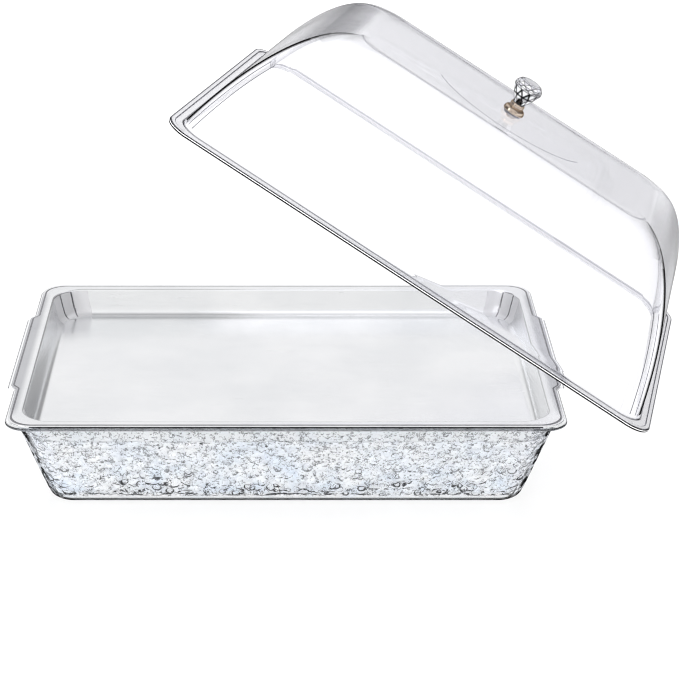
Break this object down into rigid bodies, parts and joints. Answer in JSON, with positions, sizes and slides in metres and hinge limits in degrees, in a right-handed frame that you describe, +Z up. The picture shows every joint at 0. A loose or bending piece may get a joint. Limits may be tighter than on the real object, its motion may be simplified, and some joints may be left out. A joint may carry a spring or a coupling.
{
  "type": "chilled serving tray",
  "caption": "Clear ice-filled serving tray with a lift-out polished steel pan and a clear domed cover with a faceted crystal knob, for keeping buffet food cold.",
  "frame": {"origin": "middle of the ice tray's flat base, on the table", "axes": "+X along the long side towards the end that the raised cover leans over, +Y along the short side away from the viewer, +Z up"},
  "size_m": [0.5336, 0.3819, 0.3278],
  "materials": {
    "clear_plastic": "clear moulded plastic with an ice-like relief",
    "ice": "crushed clear ice",
    "steel": "polished stainless sheet",
    "clear_cover": "clear polished plastic",
    "gasket": "translucent silicone",
    "knob_metal": "polished champagne-tinted metal",
    "crystal": "cut and polished",
    "fastener": "plated"
  },
  "bodies": {
    "base": {"ice_tray": "clear_plastic", "crushed_ice": "ice"},
    "pan": {"serving_pan": "steel"},
    "cover": {"dome_cover": "clear_cover", "knob_gasket": "gasket", "knob_base": "knob_metal", "knob_crystal": "crystal", "knob_washer": "fastener", "knob_screw": "fastener"}
  },
  "joints": [
    {"name": "pan_lift", "type": "slide", "parent": "base", "child": "pan", "axis": [0, 0, 1], "range_m": [0, 0.1]},
    {"name": "cover_swing", "type": "hinge", "parent": "pan", "child": "cover", "pos_m": [0.22067, 0, -0.08954], "axis": [0, 0.9186, -0.3953], "range_deg": [-33.18, 0]}
  ]
}
